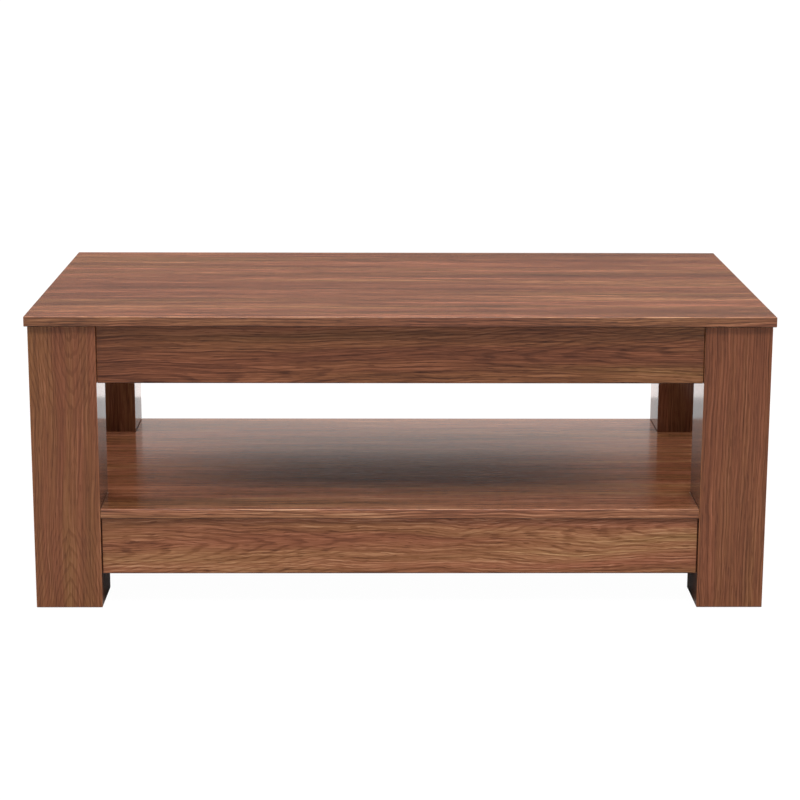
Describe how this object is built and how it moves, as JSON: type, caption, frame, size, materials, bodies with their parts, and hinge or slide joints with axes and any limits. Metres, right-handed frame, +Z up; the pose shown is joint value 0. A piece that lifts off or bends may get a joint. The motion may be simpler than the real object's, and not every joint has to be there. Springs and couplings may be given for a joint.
{
  "type": "lift top coffee table",
  "caption": "Rectangular coffee table in walnut-print board: square posts, open lower shelf, and a whole top that lifts up and forwards on sprung parallel arms over a storage compartment.",
  "frame": {"origin": "centre of the table's footprint, at floor level", "axes": "+X to the right along the long side, +Y to the back, +Z up; the top closed"},
  "size_m": [1.1, 0.61, 0.448],
  "materials": {
    "walnut_melamine": "satin walnut-print melamine with printed edge banding, grain along each board",
    "raw_wood": "sawn, unfinished",
    "black_steel": "black powder coat, satin",
    "zinc_steel": "bright zinc plate",
    "spring_steel": "drawn wire, lightly oiled",
    "nylon": "moulded, matt",
    "clear_pad": "clear soft pad"
  },
  "bodies": {
    "base": {"post_front_left": "walnut_melamine", "foot_block_front_left": "raw_wood", "glide_front_left": "nylon", "post_cap_front_left": "walnut_melamine", "bumper_front_left": "clear_pad", "post_front_right": "walnut_melamine", "foot_block_front_right": "raw_wood", "glide_front_right": "nylon", "post_cap_front_right": "walnut_melamine", "bumper_front_right": "clear_pad", "post_back_left": "walnut_melamine", "foot_block_back_left": "raw_wood", "glide_back_left": "nylon", "post_cap_back_left": "walnut_melamine", "bumper_back_left": "clear_pad", "post_back_right": "walnut_melamine", "foot_block_back_right": "raw_wood", "glide_back_right": "nylon", "post_cap_back_right": "walnut_melamine", "bumper_back_right": "clear_pad", "apron_front": "walnut_melamine", "apron_back": "walnut_melamine", "apron_left": "walnut_melamine", "apron_right": "walnut_melamine", "rail_front": "walnut_melamine", "rail_back": "walnut_melamine", "rail_left": "walnut_melamine", "rail_right": "walnut_melamine", "compartment_floor": "walnut_melamine", "shelf": "walnut_melamine", "base_bracket_left": "black_steel", "lower_pivot_front_left": "zinc_steel", "lower_pivot_back_left": "zinc_steel", "spring_post_left": "zinc_steel", "spring_left": "spring_steel", "base_bracket_right": "black_steel", "lower_pivot_front_right": "zinc_steel", "lower_pivot_back_right": "zinc_steel", "spring_post_right": "zinc_steel", "spring_right": "spring_steel"},
    "arm_front_left": {"arm_front_left": "black_steel"},
    "arm_front_right": {"arm_front_right": "black_steel"},
    "arm_rear_left": {"arm_rear_left": "black_steel", "crank_post_left": "zinc_steel"},
    "arm_rear_right": {"arm_rear_right": "black_steel", "crank_post_right": "zinc_steel"},
    "lift_top": {"lift_top": "walnut_melamine", "top_bracket_left": "black_steel", "upper_pivot_front_left": "zinc_steel", "upper_pivot_back_left": "zinc_steel", "top_bracket_right": "black_steel", "upper_pivot_front_right": "zinc_steel", "upper_pivot_back_right": "zinc_steel"}
  },
  "joints": [
    {"name": "lift", "type": "hinge", "parent": "base", "child": "arm_front_left", "pos_m": [-0.5179, -0.163, 0.3898], "axis": [1, 0, 0], "range_deg": [0, 110]},
    {"name": "top_level", "type": "hinge", "parent": "arm_front_left", "child": "lift_top", "pos_m": [-0.5179, 0.04619, 0.4197], "axis": [1, 0, 0], "range_deg": [-110, 0]},
    {"name": "arm_rear_left_turn", "type": "hinge", "parent": "base", "child": "arm_rear_left", "pos_m": [-0.5179, -0.02519, 0.3898], "axis": [1, 0, 0], "range_deg": [0, 110], "deforming": ["spring_left"]},
    {"name": "arm_front_right_turn", "type": "hinge", "parent": "base", "child": "arm_front_right", "pos_m": [0.5179, -0.163, 0.3898], "axis": [1, 0, 0], "range_deg": [0, 110]},
    {"name": "arm_rear_right_turn", "type": "hinge", "parent": "base", "child": "arm_rear_right", "pos_m": [0.5179, -0.02519, 0.3898], "axis": [1, 0, 0], "range_deg": [0, 110], "deforming": ["spring_right"]}
  ],
  "couplings": [
    {"joint": "top_level", "follows": "lift", "ratio": -1},
    {"joint": "arm_rear_left_turn", "follows": "lift", "ratio": 1},
    {"joint": "arm_front_right_turn", "follows": "lift", "ratio": 1},
    {"joint": "arm_rear_right_turn", "follows": "lift", "ratio": 1}
  ]
}
